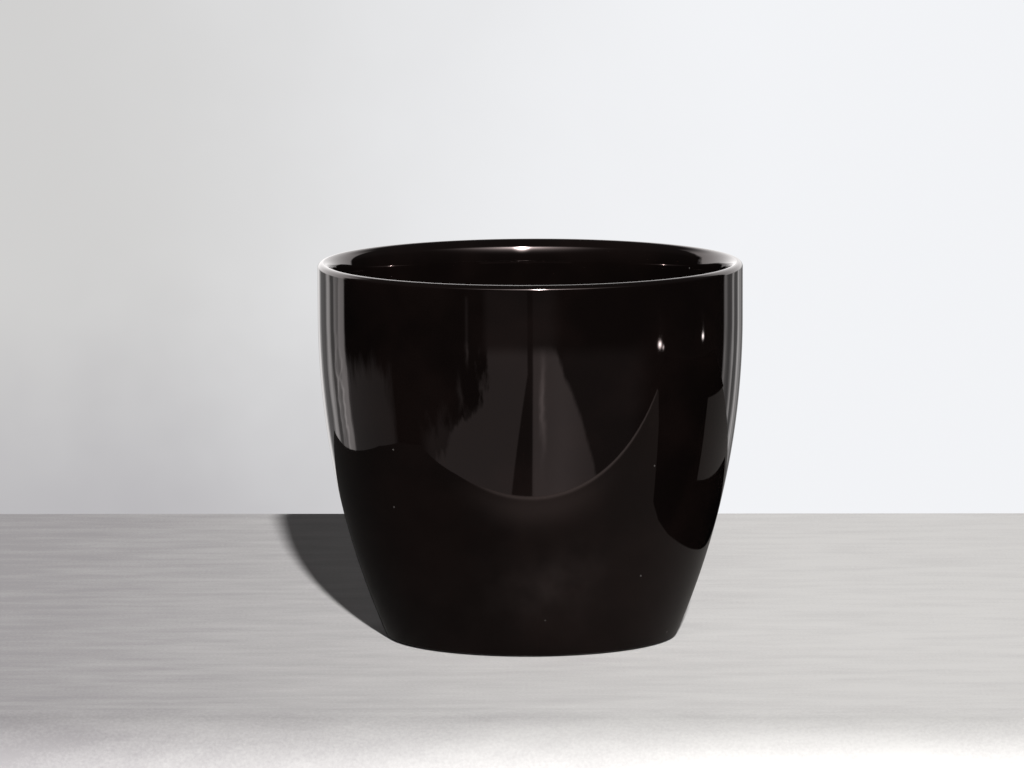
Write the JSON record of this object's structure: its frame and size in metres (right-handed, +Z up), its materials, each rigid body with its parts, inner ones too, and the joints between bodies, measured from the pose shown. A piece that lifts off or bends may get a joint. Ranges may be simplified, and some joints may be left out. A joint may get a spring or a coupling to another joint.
{
  "type": "clay pot",
  "caption": "Round black clay pot with a straight collar, a rounded lip, a wall that curves in to a low foot ring, and a glossy coat inside and out.",
  "frame": {"origin": "centre of the resting face, on the axis of the pot", "axes": "+Z up along the axis of the pot"},
  "size_m": [0.15, 0.15, 0.133],
  "materials": {
    "bare_clay": "matt, dry, fired dark grey",
    "black_coat": "mirror gloss, warm black"
  },
  "bodies": {
    "root": {"foot_ring": "bare_clay", "floor_slab": "bare_clay", "wall_coil_1": "bare_clay", "wall_coil_2": "bare_clay", "wall_coil_3": "bare_clay", "wall_coil_4": "bare_clay", "rim_coil": "bare_clay", "inner_glaze": "black_coat", "outer_glaze": "black_coat"}
  },
  "joints": []
}
